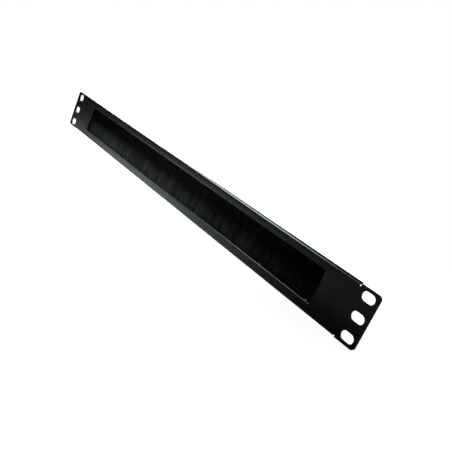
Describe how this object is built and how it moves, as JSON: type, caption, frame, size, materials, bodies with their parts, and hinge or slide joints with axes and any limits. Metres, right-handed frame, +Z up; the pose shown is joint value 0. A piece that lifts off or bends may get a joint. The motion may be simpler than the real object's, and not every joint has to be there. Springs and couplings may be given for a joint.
{
  "type": "rack brush strip panel",
  "caption": "Black folded steel rack blanking panel with slotted ears and a long cable opening closed by a hanging strip of bristles.",
  "frame": {"origin": "centre of the six rack slots, on the back face of the ears, which is the plane that seats on the rack's rails", "axes": "+X along the panel to the right as seen from the front, +Y backwards into the rack, +Z up"},
  "size_m": [0.4826, 0.0108, 0.0436],
  "materials": {
    "powder_coat": "black satin powder coat with a very fine texture",
    "galvanised_steel": "plain galvanised sheet",
    "channel_steel": "plain galvanised strip, crimped",
    "wire_steel": "drawn steel wire",
    "bristle": "black nylon filaments with a soft sheen",
    "stud_copper": "copper-flashed steel",
    "zinc_plate": "bright zinc plate",
    "spring_steel": "zinc plated spring steel"
  },
  "bodies": {
    "root": {"front_panel": "powder_coat", "brush_carrier": "galvanised_steel", "brush_channel": "channel_steel", "core_wire": "wire_steel", "bristle_pack": "bristle", "stud_left_upper": "stud_copper", "washer_left_upper": "zinc_plate", "spring_washer_left_upper": "spring_steel", "nut_left_upper": "zinc_plate", "stud_left_lower": "stud_copper", "washer_left_lower": "zinc_plate", "spring_washer_left_lower": "spring_steel", "nut_left_lower": "zinc_plate", "stud_right_upper": "stud_copper", "washer_right_upper": "zinc_plate", "spring_washer_right_upper": "spring_steel", "nut_right_upper": "zinc_plate", "stud_right_lower": "stud_copper", "washer_right_lower": "zinc_plate", "spring_washer_right_lower": "spring_steel", "nut_right_lower": "zinc_plate"}
  },
  "joints": []
}
